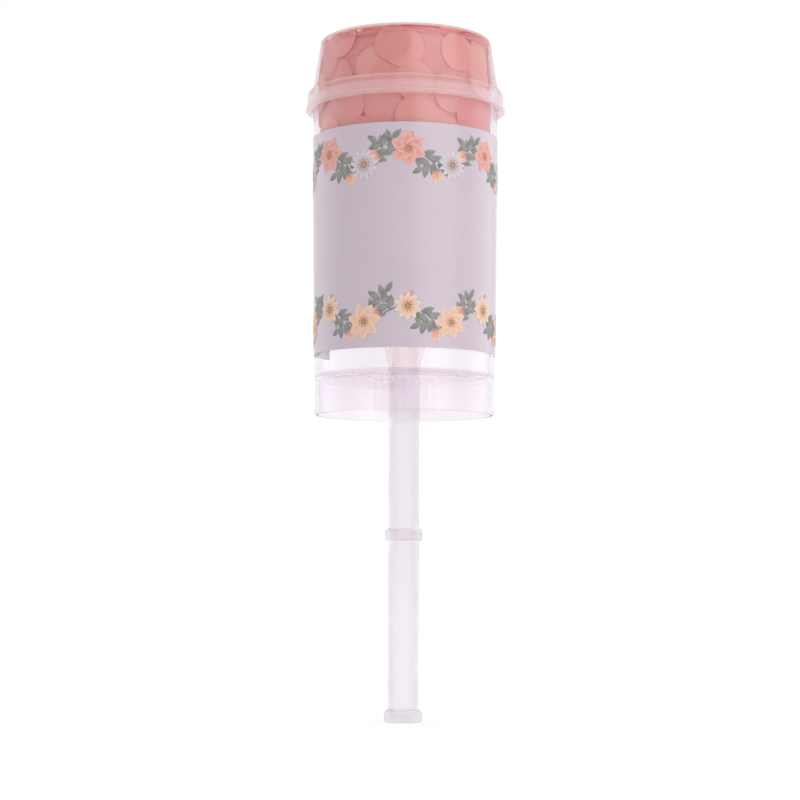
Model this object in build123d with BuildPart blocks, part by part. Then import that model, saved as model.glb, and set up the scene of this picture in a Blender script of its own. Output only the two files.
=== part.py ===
from build123d import *
import math
import os

# Push-up confetti popper: a clear drafted tube with a lift-off lid, a paper label, a plunger on a
# two-piece stick that slides in the tube, and a loose fill of round tissue-paper confetti.
# Millimetres, +Z up the common axis, origin at the centre of the foot's underside.

# Push stick: two tubes that plug together, ring on the upper one, closed foot on the lower one
STICK_DIAMETER = 8.2
STICK_WALL = 0.7
LOWER_STICK_LENGTH = 48.4
UPPER_STICK_LENGTH = 46.7
SPIGOT_LENGTH = 9.0
SPIGOT_CLEARANCE = 0.05
RING_REACH = 0.85
RING_HEIGHT = 3.2
FOOT_REACH = 1.0
FOOT_HEIGHT = 3.2
FOOT_WEB = 1.2
COLLAR_ROUND_SHARE = 0.8

# Plunger: a skirted disc with a funnel-shaped socket for the stick
PLUNGER_LIFT = 2.2
PLUNGER_CLEARANCE = 0.2
PLUNGER_SKIRT_HEIGHT = 5.0
PLUNGER_SKIRT_WALL = 0.9
DISC_THICKNESS = 1.4
SOCKET_HEIGHT = 16.0
SOCKET_FLARE_DEGREES = 15.5
SOCKET_WALL = 1.4

# Barrel: drafted tube with a recessed floor and a guide sleeve for the stick
BARREL_MOUTH_DIAMETER = 50.3
BARREL_DRAFT_DEGREES = 0.75
BARREL_HEIGHT = 86.7
BARREL_WALL = 1.0
RIM_BEAD_HEIGHT = 1.3
RIM_BEAD_REACH = 0.15
FLOOR_RECESS = 9.5
FLOOR_THICKNESS = 1.1
GUIDE_CLEARANCE = 1.15
GUIDE_WALL = 2.1
GUIDE_RIM_GAP = 1.1

# Lid: tapered cap with a thick flared flange round the barrel's mouth, beaded round its lower edge
LID_CROWN_SETBACK = 0.15
LID_CROWN_HEIGHT = 14.2
LID_TAPER_DEGREES = 8.8
LID_SHOULDER_THICKNESS = 1.5
LID_WALL = 0.9
LID_TOP_WALL = 0.5
LID_CORNER_ROUND = 1.0
LID_INNER_ROUND = 0.5
LID_CLEARANCE = 0.3
FLANGE_OVERLAP = 3.8
FLANGE_TOP_WALL = 1.2
FLANGE_FLARE = 0.1
FLANGE_TOP_ROUND = 1.1
FLANGE_BEAD_HEIGHT = 1.0
FLANGE_BEAD_REACH = 0.4
FLANGE_BEAD_ROUND = 0.35

# Label: a paper strip round the front and sides of the barrel, its ends free at the back
LABEL_LIFT = 16.1
LABEL_FLANGE_GAP = 7.6
LABEL_THICKNESS = 0.15
LABEL_TOP_GAP = 0.03
LABEL_BASE_GAP = 0.2
LABEL_LENGTH = 97.0
LABEL_END_DEGREES = 148.0

# Confetti: round tissue discs, each solid a few sheets that cling together; the discs' diameter is a
# share of the lid's narrowest bore, so that the columns and stacks still fill a tube of another size
CONFETTI_DIAMETER_SHARE = 0.2866
CONFETTI_THICKNESS = 0.5
CONFETTI_SIDES = 16
CONFETTI_COLUMNS = 10
CONFETTI_RING_STACKS = 6
CONFETTI_GAP = 0.15
CONFETTI_WALL_GAP = 0.3
STACK_LEAN_DEGREES = 30.0

# Heights, stacked upwards from the foot
stick_joint = LOWER_STICK_LENGTH
socket_mouth = stick_joint + UPPER_STICK_LENGTH
disc_under = socket_mouth + SOCKET_HEIGHT
disc_top = disc_under + DISC_THICKNESS
skirt_base = disc_under - PLUNGER_SKIRT_HEIGHT
floor_top = socket_mouth - PLUNGER_LIFT
floor_under = floor_top - FLOOR_THICKNESS
barrel_base = floor_under - FLOOR_RECESS
barrel_top = barrel_base + BARREL_HEIGHT
bead_top = barrel_base + RIM_BEAD_HEIGHT
guide_base = barrel_base + GUIDE_RIM_GAP
flange_base = barrel_top - FLANGE_OVERLAP
shoulder_top = barrel_top + LID_SHOULDER_THICKNESS
lid_top = shoulder_top + LID_CROWN_HEIGHT
lid_under = lid_top - LID_TOP_WALL
label_base = barrel_base + LABEL_LIFT
label_top = flange_base - LABEL_FLANGE_GAP

# Radii that several pieces share
stick_radius = STICK_DIAMETER / 2
stick_bore = stick_radius - STICK_WALL
ring_radius = stick_radius + RING_REACH
foot_radius = stick_radius + FOOT_REACH
barrel_mouth_radius = BARREL_MOUTH_DIAMETER / 2
flange_bore = barrel_mouth_radius + LID_CLEARANCE

# Drafts, as radius gained for each millimetre of height
barrel_draft = math.tan(math.radians(BARREL_DRAFT_DEGREES))
lid_draft = -math.tan(math.radians(LID_TAPER_DEGREES))
socket_draft = math.tan(math.radians(SOCKET_FLARE_DEGREES))


def barrel_outside(z):
    return barrel_mouth_radius + barrel_draft * (z - barrel_top)


def barrel_bore(z):
    return barrel_outside(z) - BARREL_WALL


def lid_outside(z):
    return flange_bore - LID_CROWN_SETBACK + lid_draft * (z - shoulder_top)


def lid_bore(z):
    """The inside of the crown, whose wall thins evenly from its seat on the barrel up to its top."""
    risen_share = (z - barrel_top) / (lid_under - barrel_top)
    return lid_outside(z) - LID_WALL + (LID_WALL - LID_TOP_WALL) * risen_share


def socket_outside(z):
    return stick_radius + socket_draft * (z - socket_mouth)


def finish(part, name):
    part.label = name
    export_step(part, f"parts/{name}.step")


os.makedirs("parts", exist_ok=True)

# Barrel: one turned section with the floor, the guide sleeve and a small bead round the base rim
guide_bore = ring_radius + GUIDE_CLEARANCE
guide_radius = guide_bore + GUIDE_WALL
bead_radius = barrel_outside(barrel_base) + RIM_BEAD_REACH
with BuildPart() as barrel:
    with BuildSketch(Plane.XZ):
        with BuildLine():
            Polyline(
                (bead_radius, barrel_base),
                (bead_radius, bead_top),
                (barrel_outside(bead_top), bead_top),
                (barrel_outside(barrel_top), barrel_top),
                (barrel_bore(barrel_top), barrel_top),
                (barrel_bore(floor_top), floor_top),
                (guide_bore, floor_top),
                (guide_bore, guide_base),
                (guide_radius, guide_base),
                (guide_radius, floor_under),
                (barrel_bore(floor_under), floor_under),
                (barrel_bore(barrel_base), barrel_base),
                close=True,
            )
        make_face()
    revolve(axis=Axis.Z)
finish(barrel.part, "barrel")

# Lid: the shoulder rests on the barrel's top edge, the flange hangs round the outside of the mouth
crown_corner = (lid_outside(lid_top), lid_top)
crown_inner_corner = (lid_bore(lid_under), lid_under)
flange_radius = flange_bore + FLANGE_TOP_WALL
flange_top_corner = (flange_radius, shoulder_top)
flange_foot_radius = flange_radius + FLANGE_FLARE
flange_bead_radius = flange_foot_radius + FLANGE_BEAD_REACH
flange_bead_top = flange_base + FLANGE_BEAD_HEIGHT
bead_corners = [(flange_bead_radius, flange_bead_top), (flange_bead_radius, flange_base)]
with BuildPart() as lid:
    with BuildSketch(Plane.XZ) as lid_section:
        with BuildLine():
            Polyline(
                (flange_bore, flange_base),
                (flange_bore, barrel_top),
                (lid_bore(barrel_top), barrel_top),
                crown_inner_corner,
                (0, lid_under),
                (0, lid_top),
                crown_corner,
                (lid_outside(shoulder_top), shoulder_top),
                flange_top_corner,
                (flange_foot_radius, flange_bead_top),
                *bead_corners,
                close=True,
            )
        make_face()
        for corner, radius in (
            (crown_corner, LID_CORNER_ROUND),
            (crown_inner_corner, LID_INNER_ROUND),
            (flange_top_corner, FLANGE_TOP_ROUND),
            *[(corner, FLANGE_BEAD_ROUND) for corner in bead_corners],
        ):
            fillet(lid_section.vertices().sort_by_distance(corner)[0], radius=radius)
    revolve(axis=Axis.Z)
finish(lid.part, "lid")

# Plunger: thin disc and skirt that run in the bore, and a funnel that narrows down to the stick
plunger_radius = barrel_bore(skirt_base) - PLUNGER_CLEARANCE
skirt_bore = plunger_radius - PLUNGER_SKIRT_WALL
funnel_offset = SOCKET_WALL / math.cos(math.radians(SOCKET_FLARE_DEGREES))
funnel_throat = socket_mouth + (stick_bore + funnel_offset - stick_radius) / socket_draft
with BuildPart() as plunger:
    with BuildSketch(Plane.XZ):
        with BuildLine():
            Polyline(
                (stick_radius, socket_mouth),
                (socket_outside(disc_under), disc_under),
                (skirt_bore, disc_under),
                (skirt_bore, skirt_base),
                (plunger_radius, skirt_base),
                (plunger_radius, disc_top),
                (socket_outside(disc_top) - funnel_offset, disc_top),
                (stick_bore, funnel_throat),
                (stick_bore, socket_mouth),
                close=True,
            )
        make_face()
    revolve(axis=Axis.Z)
finish(plunger.part, "plunger")

# Stick sections: the spigot on top of each one plugs into the piece above, up to the shoulder. The upper
# one's is in the funnel, and the lower one's is only as long as the ring that hides it
spigot_radius = stick_bore - SPIGOT_CLEARANCE
spigot_bore = spigot_radius - STICK_WALL


def tube_top(shoulder, spigot_length):
    """Outline of a stick's upper end, from its outside round the spigot and down into its bore."""
    return [
        (stick_radius, shoulder),
        (spigot_radius, shoulder),
        (spigot_radius, shoulder + spigot_length),
        (spigot_bore, shoulder + spigot_length),
        (spigot_bore, shoulder - STICK_WALL),
        (stick_bore, shoulder - STICK_WALL),
    ]


ring_top = stick_joint + RING_HEIGHT
ring_corners = [(ring_radius, stick_joint), (ring_radius, ring_top)]
ring_round = RING_REACH * COLLAR_ROUND_SHARE
with BuildPart() as stick_upper:
    with BuildSketch(Plane.XZ) as upper_section:
        with BuildLine():
            Polyline(
                *ring_corners,
                (stick_radius, ring_top),
                *tube_top(socket_mouth, SPIGOT_LENGTH),
                (stick_bore, stick_joint),
                close=True,
            )
        make_face()
        for corner in ring_corners:
            fillet(upper_section.vertices().sort_by_distance(corner)[0], radius=ring_round)
    revolve(axis=Axis.Z)
finish(stick_upper.part, "stick_upper")

foot_corners = [(foot_radius, 0), (foot_radius, FOOT_HEIGHT)]
foot_round = FOOT_REACH * COLLAR_ROUND_SHARE
with BuildPart() as stick_lower:
    with BuildSketch(Plane.XZ) as lower_section:
        with BuildLine():
            Polyline(
                (0, 0),
                *foot_corners,
                (stick_radius, FOOT_HEIGHT),
                *tube_top(stick_joint, RING_HEIGHT),
                (stick_bore, FOOT_WEB),
                (0, FOOT_WEB),
                close=True,
            )
        make_face()
        for corner in foot_corners:
            fillet(lower_section.vertices().sort_by_distance(corner)[0], radius=foot_round)
    revolve(axis=Axis.Z)
finish(stick_lower.part, "stick_lower")

# Label: a thin bent sheet that starts at its left end and runs round the front
label_base_bore = barrel_outside(label_base) + LABEL_BASE_GAP
label_top_bore = barrel_outside(label_top) + LABEL_TOP_GAP
label_turn = math.degrees(LABEL_LENGTH / label_top_bore)
with BuildPart() as label:
    with BuildSketch(Plane.XZ.rotated((0, 0, LABEL_END_DEGREES))):
        with BuildLine():
            Polyline(
                (label_base_bore, label_base),
                (label_top_bore, label_top),
                (label_top_bore + LABEL_THICKNESS, label_top),
                (label_base_bore + LABEL_THICKNESS, label_base),
                close=True,
            )
        make_face()
    revolve(axis=Axis.Z, revolution_arc=label_turn)
finish(label.part, "label")

# Confetti against the wall: upright discs in rows, parallel to the barrel's wall and to the lid's
disc_radius = CONFETTI_DIAMETER_SHARE * lid_bore(lid_under)
disc_diameter = 2 * disc_radius
barrel_lean = -math.atan(barrel_draft)
lid_lean = math.atan((lid_bore(barrel_top) - lid_bore(lid_under)) / (lid_under - barrel_top))


def wall_row_heights(low, high, lean):
    """Middle heights of the rows of leaning discs that fit between two levels."""
    disc_height = disc_diameter * math.cos(lean) + CONFETTI_WALL_GAP
    rows = int((high - low) / disc_height)
    return [low + (high - low) * (row + 1 / 2) / rows for row in range(rows)]


def wall_disc_radius(bore):
    """Distance from the axis to a flat disc's outer face, with its side edges clear of the wall."""
    return math.sqrt((bore - CONFETTI_WALL_GAP) ** 2 - disc_radius**2)


wall_discs = [
    (z, wall_disc_radius(barrel_bore(z)), barrel_lean)
    for z in wall_row_heights(disc_top, barrel_top, barrel_lean)
]
wall_discs += [
    (z, wall_disc_radius(lid_bore(z)), lid_lean) for z in wall_row_heights(barrel_top, lid_under, lid_lean)
]
narrowest_row = min(radius for z, radius, lean in wall_discs) - CONFETTI_THICKNESS
for column in range(CONFETTI_COLUMNS):
    angle = 2 * math.pi * column / CONFETTI_COLUMNS
    outward = Vector(math.cos(angle), math.sin(angle), 0)
    with BuildPart() as wall_column:
        for z, radius, lean in wall_discs:
            facing = outward * math.cos(lean) + Vector(0, 0, math.sin(lean))
            with BuildSketch(Plane(outward * radius + Vector(0, 0, z), z_dir=facing)):
                RegularPolygon(disc_radius, CONFETTI_SIDES)
        extrude(amount=-CONFETTI_THICKNESS)
    finish(wall_column.part, f"confetti_wall_{column + 1:02d}")

# Confetti in the middle: zigzag stacks, each disc leaning the other way from the one it rests on,
# in a ring inside the wall discs and on the axis
stack_lean = math.radians(STACK_LEAN_DEGREES)
disc_rise = disc_diameter * math.sin(stack_lean) + CONFETTI_THICKNESS * math.cos(stack_lean)
lowest_disc = disc_top + CONFETTI_WALL_GAP + disc_rise / 2
highest_disc = lid_under - CONFETTI_WALL_GAP - disc_rise / 2
stack_steps = int((highest_disc - lowest_disc) / (disc_rise + CONFETTI_GAP))
stack_step = (highest_disc - lowest_disc) / stack_steps
wall_inside = narrowest_row - disc_radius * math.sin(lid_lean)
stack_ring_radius = wall_inside - CONFETTI_GAP - disc_radius
stack_places = [
    (stack_ring_radius, 2 * math.pi * k / CONFETTI_RING_STACKS) for k in range(CONFETTI_RING_STACKS)
]
stack_places.append((0, 0))
for number, (radius, angle) in enumerate(stack_places, start=1):
    outward = Vector(math.cos(angle), math.sin(angle), 0)
    sideways = Vector(-math.sin(angle), math.cos(angle), 0)
    with BuildPart() as stack:
        for k in range(stack_steps + 1):
            side = (-1) ** k
            facing = sideways * side * math.sin(stack_lean) + Vector(0, 0, math.cos(stack_lean))
            middle = outward * radius + Vector(0, 0, lowest_disc + k * stack_step)
            with BuildSketch(Plane(middle, z_dir=facing)):
                RegularPolygon(disc_radius, CONFETTI_SIDES)
        extrude(amount=CONFETTI_THICKNESS / 2, both=True)
    finish(stack.part, f"confetti_stack_{number}")
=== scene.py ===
import math

import bpy
from mathutils import Euler, Matrix, Vector


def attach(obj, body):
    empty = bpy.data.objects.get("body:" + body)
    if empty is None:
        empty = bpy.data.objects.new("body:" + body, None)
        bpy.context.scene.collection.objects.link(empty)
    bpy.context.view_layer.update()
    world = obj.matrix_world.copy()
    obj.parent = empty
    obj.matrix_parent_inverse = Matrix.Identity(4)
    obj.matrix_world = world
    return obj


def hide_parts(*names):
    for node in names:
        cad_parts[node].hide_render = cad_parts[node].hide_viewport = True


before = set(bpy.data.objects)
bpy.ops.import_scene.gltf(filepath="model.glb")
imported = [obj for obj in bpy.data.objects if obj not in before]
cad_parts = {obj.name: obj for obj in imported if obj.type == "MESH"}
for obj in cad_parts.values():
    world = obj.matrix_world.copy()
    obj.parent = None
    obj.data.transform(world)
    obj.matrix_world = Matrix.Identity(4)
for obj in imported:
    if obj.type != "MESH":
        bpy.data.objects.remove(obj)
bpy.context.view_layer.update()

# Push-up confetti popper: clear turned shells, milky stick and plunger, a printed paper label and a
# fill of round tissue discs. Outlines are in millimetres, as in the part's source; meshes in metres.
MM = 0.001

# Sizes of the turned pieces
BARREL_BASE = 82.3
BARREL_TOP = 169.0
BARREL_MOUTH_RADIUS = 25.15
BARREL_DRAFT = math.tan(math.radians(0.75))
BARREL_WALL = 1.0
BEAD_HEIGHT = 1.3
BEAD_REACH = 0.15
FLOOR_UNDER = 91.8
FLOOR_TOP = 92.9
GUIDE_BASE = 83.4
GUIDE_BORE = 6.1
GUIDE_RADIUS = 8.2
FLANGE_BASE = 165.2
FLANGE_BORE = 25.45
FLANGE_RADIUS = 26.65
FLANGE_FOOT_RADIUS = 26.75
FLANGE_BEAD_RADIUS = 27.15
FLANGE_BEAD_TOP = 166.2
SHOULDER_TOP = 170.5
CROWN_RADIUS = 25.3
LID_DRAFT = -math.tan(math.radians(8.8))
LID_WALL = 0.9
LID_TOP_WALL = 0.5
LID_TOP = 184.7
STICK_RADIUS = 4.1
STICK_BORE = 3.4
STICK_WALL = 0.7
STICK_JOINT = 48.4
SPIGOT_RADIUS = 3.35
SPIGOT_LENGTH = 9.0
RING_RADIUS = 4.95
RING_HEIGHT = 3.2
FOOT_RADIUS = 5.1
FOOT_HEIGHT = 3.2
FOOT_WEB = 1.2
SOCKET_MOUTH = 95.1
SOCKET_DRAFT = math.tan(math.radians(15.5))
SOCKET_OFFSET = 1.4 / math.cos(math.radians(15.5))
PLUNGER_RADIUS = 23.127
PLUNGER_SKIRT_BORE = 22.227
PLUNGER_SKIRT_BASE = 106.1
DISC_UNDER = 111.1
DISC_TOP = 112.5
LID_UNDER = LID_TOP - LID_TOP_WALL
LABEL_BASE = 98.4
LABEL_TOP = 157.6
LABEL_BASE_RADIUS = 24.576
LABEL_TOP_RADIUS = 25.181

# Turned meshes
TURN_STEPS = 144
ROUND_STEPS = 5
SUPPORT_GAP = 0.35
ON_AXIS = 1e-6


def barrel_outside(z):
    return BARREL_MOUTH_RADIUS + BARREL_DRAFT * (z - BARREL_TOP)


def barrel_bore(z):
    return barrel_outside(z) - BARREL_WALL


def lid_outside(z):
    return CROWN_RADIUS + LID_DRAFT * (z - SHOULDER_TOP)


def lid_bore(z):
    """The inside of the crown, whose wall thins evenly from its seat on the barrel up to its top."""
    risen_share = (z - BARREL_TOP) / (LID_UNDER - BARREL_TOP)
    return lid_outside(z) - LID_WALL + (LID_WALL - LID_TOP_WALL) * risen_share


def socket_outside(z):
    return STICK_RADIUS + SOCKET_DRAFT * (z - SOCKET_MOUTH)


def rounded(corners):
    """Outline points of a closed section whose corners (radius, height, round) are filleted, with a
    support point beside each fillet so that smooth shading stays flat on the straight runs."""
    points = []
    count = len(corners)
    for k, (r, z, fillet) in enumerate(corners):
        here = Vector((r, z))
        before = Vector(corners[k - 1][:2]) - here
        after = Vector(corners[(k + 1) % count][:2]) - here
        if fillet == 0:
            points.append(here)
            continue
        half_angle = before.angle(after) / 2
        reach = fillet / math.tan(half_angle)
        start = here + before.normalized() * reach
        end = here + after.normalized() * reach
        bisector = (before.normalized() + after.normalized()).normalized()
        middle = here + bisector * fillet / math.sin(half_angle)
        if before.length > reach + 2 * SUPPORT_GAP:
            points.append(start + before.normalized() * SUPPORT_GAP)
        sweep = (start - middle).angle_signed(end - middle)
        for step in range(ROUND_STEPS + 1):
            turn = sweep * step / ROUND_STEPS
            spoke = start - middle
            points.append(middle + Vector((
                spoke.x * math.cos(turn) + spoke.y * math.sin(turn),
                spoke.y * math.cos(turn) - spoke.x * math.sin(turn),
            )))
        if after.length > reach + 2 * SUPPORT_GAP:
            points.append(end + after.normalized() * SUPPORT_GAP)
    return points


def linked(name, data):
    """A new object in the scene, at the origin."""
    item = bpy.data.objects.new(name, data)
    bpy.context.scene.collection.objects.link(item)
    return item


def turned(name, corners, body, nodes, material, bands=()):
    """A closed shell turned about the axis from its section's corners, in place of CAD nodes. Each band
    gives the faces outside a radius and between two heights another finish."""
    outline = rounded(corners)
    area = sum(a.x * b.y - b.x * a.y for a, b in zip(outline, outline[1:] + outline[:1]))
    if area < 0:
        outline.reverse()
    points = []
    rings = []
    for p in outline:
        if p.x < ON_AXIS:
            rings.append([len(points)] * TURN_STEPS)
            points.append((0, 0, p.y * MM))
            continue
        rings.append(list(range(len(points), len(points) + TURN_STEPS)))
        for step in range(TURN_STEPS):
            turn = 2 * math.pi * step / TURN_STEPS
            points.append((p.x * math.cos(turn) * MM, p.x * math.sin(turn) * MM, p.y * MM))
    faces = []
    for k, ring in enumerate(rings):
        above = rings[(k + 1) % len(rings)]
        for step in range(TURN_STEPS):
            after = (step + 1) % TURN_STEPS
            face = list(dict.fromkeys((ring[step], ring[after], above[after], above[step])))
            if len(face) > 2:
                faces.append(face)
    mesh = bpy.data.meshes.new(name)
    mesh.from_pydata(points, [], faces)
    mesh.validate()
    mesh.shade_smooth()
    piece = linked(name, mesh)
    mesh.materials.append(material)
    for number, (least_radius, low, high, finish) in enumerate(bands, start=1):
        mesh.materials.append(finish)
        for face in mesh.polygons:
            middle = face.center / MM
            if low < middle.z < high and math.hypot(middle.x, middle.y) > least_radius:
                face.material_index = number
    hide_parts(*nodes)
    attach(piece, body)
    return piece


# Node helpers for the materials and the repeated pieces


def feed(tree, socket, value):
    """Links a socket to another one, or sets it."""
    if isinstance(value, bpy.types.NodeSocket):
        tree.links.new(value, socket)
    else:
        socket.default_value = value


def put(tree, kind, sockets=None, **settings):
    """Adds a node with its settings and inputs."""
    node = tree.nodes.new(kind)
    for name, value in settings.items():
        setattr(node, name, value)
    for key, value in (sockets or {}).items():
        feed(tree, node.inputs[key], value)
    return node


def calc(tree, operation, *terms):
    """One sum, as an output socket."""
    node = tree.nodes.new("ShaderNodeMath")
    node.operation = operation
    for socket, term in zip(node.inputs, terms):
        feed(tree, socket, term)
    return node.outputs[0]


def mixed(tree, share, first, second):
    """A colour between two colours."""
    node = tree.nodes.new("ShaderNodeMix")
    node.data_type = "RGBA"
    feed(tree, node.inputs[0], share)
    feed(tree, node.inputs[6], first)
    feed(tree, node.inputs[7], second)
    return node.outputs[2]


def colour(red, green, blue):
    """A linear colour from display values of 0 to 255."""
    shares = [c / 255 for c in (red, green, blue)]
    return (*[s / 12.92 if s <= 0.04045 else ((s + 0.055) / 1.055) ** 2.4 for s in shares], 1)


def moulding_group():
    """The uneven gloss and faint ripple of moulded plastic."""
    group = bpy.data.node_groups.new("moulded_ripple", "ShaderNodeTree")
    for name, default in (("Roughness", 0.1), ("Scuff", 0.1), ("Ripple Scale", 60.0), ("Scuff Scale", 900.0)):
        socket = group.interface.new_socket(name, in_out="INPUT", socket_type="NodeSocketFloat")
        socket.default_value = default
    for name in ("Roughness", "Height"):
        group.interface.new_socket(name, in_out="OUTPUT", socket_type="NodeSocketFloat")
    given = group.nodes.new("NodeGroupInput").outputs
    result = group.nodes.new("NodeGroupOutput")
    place = put(group, "ShaderNodeTexCoord").outputs["Object"]
    ripple = put(group, "ShaderNodeTexNoise", {
        "Vector": place, "Scale": given["Ripple Scale"], "Detail": 2.0,
    })
    scuff = put(group, "ShaderNodeTexNoise", {
        "Vector": place, "Scale": given["Scuff Scale"], "Detail": 4.0,
    })
    extra = calc(group, "MULTIPLY", scuff.outputs[0], given["Scuff"])
    feed(group, result.inputs["Roughness"], calc(group, "ADD", given["Roughness"], extra))
    feed(group, result.inputs["Height"], ripple.outputs[0])
    return group


MOULDED = moulding_group()


def plain_material(name):
    """An empty material, with its node tree and output."""
    material = bpy.data.materials.new(name)
    material.use_nodes = True
    tree = material.node_tree
    tree.nodes.clear()
    return material, tree, tree.nodes.new("ShaderNodeOutputMaterial")


# How sharply clear plastic turns to its edge tint, which is painted reflection and refraction, and loses its
# gloss, where it is seen edge on
PAINTED_EDGE_TINT_POWER = 3.0
EDGE_GLOSS_POWER = 6.0


def clear_plastic(name, tint, painted_edge_tint, roughness, gloss):
    """Clear moulded plastic that lets light through to what it holds. It is less glossy where it is seen edge
    on, and there it turns to a painted edge tint that stands in for reflection and refraction."""
    material, tree, output = plain_material(name)
    moulded = put(tree, "ShaderNodeGroup", node_tree=MOULDED)
    feed(tree, moulded.inputs["Roughness"], roughness)
    feed(tree, moulded.inputs["Scuff"], 0.05)
    edge = put(tree, "ShaderNodeLayerWeight", {"Blend": 0.5}).outputs["Facing"]
    glass = put(tree, "ShaderNodeBsdfPrincipled", {
        "Base Color": mixed(tree, calc(tree, "POWER", edge, PAINTED_EDGE_TINT_POWER), tint, painted_edge_tint),
        "IOR": 1.01, "Transmission Weight": 0.96, "Roughness": moulded.outputs["Roughness"],
        "Coat Weight": calc(tree, "MULTIPLY_ADD", calc(tree, "POWER", edge, EDGE_GLOSS_POWER), -gloss, gloss),
        "Coat Roughness": 0.22,
    })
    path = tree.nodes.new("ShaderNodeLightPath")
    passing = calc(tree, "MAXIMUM", path.outputs["Is Shadow Ray"], path.outputs["Is Diffuse Ray"])
    open_way = put(tree, "ShaderNodeBsdfTransparent", {"Color": (0.99, 0.985, 0.99, 1)})
    both = put(tree, "ShaderNodeMixShader", {0: passing, 1: glass.outputs[0], 2: open_way.outputs[0]})
    feed(tree, output.inputs["Surface"], both.outputs[0])
    return material


def milky_plastic(name, tint, least_alpha, edge_alpha, roughness, transmission):
    """Cloudy moulded plastic: a pale, light-passing body that shows what is behind it, denser where it is
    seen edge on."""
    material, tree, output = plain_material(name)
    moulded = put(tree, "ShaderNodeGroup", node_tree=MOULDED)
    feed(tree, moulded.inputs["Roughness"], roughness)
    bump = put(tree, "ShaderNodeBump", {
        "Strength": 0.08, "Distance": 0.0004, "Height": moulded.outputs["Height"],
    })
    edge = put(tree, "ShaderNodeLayerWeight", {"Blend": 0.35})
    alpha = calc(tree, "MULTIPLY_ADD", edge.outputs["Facing"], edge_alpha - least_alpha, least_alpha)
    body = put(tree, "ShaderNodeBsdfPrincipled", {
        "Base Color": tint, "IOR": 1.1, "Transmission Weight": transmission,
        "Roughness": moulded.outputs["Roughness"], "Normal": bump.outputs[0], "Alpha": alpha,
        "Coat Weight": 0.3, "Coat Roughness": 0.1,
    })
    feed(tree, output.inputs["Surface"], body.outputs[0])
    return material


def label_paper():
    """Smooth printed paper with a faint fibre."""
    material, tree, output = plain_material("label_paper")
    place = put(tree, "ShaderNodeTexCoord").outputs["Object"]
    fibre = put(tree, "ShaderNodeTexNoise", {"Vector": place, "Scale": 2600.0, "Detail": 3.0})
    cloud = put(tree, "ShaderNodeTexNoise", {"Vector": place, "Scale": 90.0, "Detail": 2.0})
    shade = calc(tree, "MULTIPLY_ADD", fibre.outputs[0], 0.5, calc(tree, "MULTIPLY", cloud.outputs[0], 0.5))
    tone = mixed(tree, shade, colour(203, 188, 200), colour(215, 201, 213))
    bump = put(tree, "ShaderNodeBump", {"Strength": 0.12, "Distance": 0.00005, "Height": fibre.outputs[0]})
    sheet = put(tree, "ShaderNodeBsdfPrincipled", {
        "Base Color": tone, "Roughness": 0.5, "Specular IOR Level": 0.35, "Normal": bump.outputs[0],
        "Coat Weight": 0.8, "Coat Roughness": 0.22, "Sheen Weight": 0.4, "Sheen Roughness": 0.3,
    })
    feed(tree, output.inputs["Surface"], sheet.outputs[0])
    return material


def printed_ink():
    """The printed flowers' ink, by each motif's own colours."""
    material, tree, output = plain_material("printed_ink")
    ink = put(tree, "ShaderNodeAttribute", attribute_name="ink").outputs["Color"]
    place = put(tree, "ShaderNodeTexCoord").outputs["Object"]
    wash = put(tree, "ShaderNodeTexNoise", {"Vector": place, "Scale": 700.0, "Detail": 3.0})
    share = calc(tree, "MULTIPLY", wash.outputs[0], 0.3)
    tone = mixed(tree, share, ink, colour(232, 214, 216))
    sheet = put(tree, "ShaderNodeBsdfPrincipled", {
        "Base Color": tone, "Roughness": 0.5, "Specular IOR Level": 0.35,
    })
    feed(tree, output.inputs["Surface"], sheet.outputs[0])
    return material


def confetti_tissue():
    """Dyed tissue paper: lighter or deeper, pinker or more of a peach from sheet to sheet, with a soft fibre,
    and deeper in the light that comes through it."""
    material, tree, output = plain_material("confetti_tissue")
    tint = put(tree, "ShaderNodeAttribute", attribute_name="sheet_tint").outputs["Fac"]
    hue = put(tree, "ShaderNodeAttribute", attribute_name="sheet_hue").outputs["Fac"]
    place = put(tree, "ShaderNodeTexCoord").outputs["Object"]
    fibre = put(tree, "ShaderNodeTexNoise", {"Vector": place, "Scale": 1500.0, "Detail": 4.0})
    crease = put(tree, "ShaderNodeTexNoise", {"Vector": place, "Scale": 260.0, "Detail": 3.0})
    pink = mixed(tree, tint, colour(237, 142, 138), colour(250, 198, 196))
    peach = mixed(tree, tint, colour(231, 150, 130), colour(248, 206, 187))
    sheet_tone = mixed(tree, hue, pink, peach)
    tone = mixed(tree, calc(tree, "MULTIPLY", fibre.outputs[0], 0.2), sheet_tone, colour(242, 150, 138))
    height = calc(tree, "MULTIPLY_ADD", fibre.outputs[0], 0.25, crease.outputs[0])
    bump = put(tree, "ShaderNodeBump", {"Strength": 0.25, "Distance": 0.0003, "Height": height})
    sheet = put(tree, "ShaderNodeBsdfPrincipled", {
        "Base Color": tone, "Roughness": 0.85, "Specular IOR Level": 0.2, "Normal": bump.outputs[0],
    })
    deep_tone = mixed(tree, 0.5, tone, colour(255, 118, 98))
    through = put(tree, "ShaderNodeBsdfTranslucent", {"Color": deep_tone})
    both = put(tree, "ShaderNodeMixShader", {0: 0.5, 1: sheet.outputs[0], 2: through.outputs[0]})
    feed(tree, output.inputs["Surface"], both.outputs[0])
    return material
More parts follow.
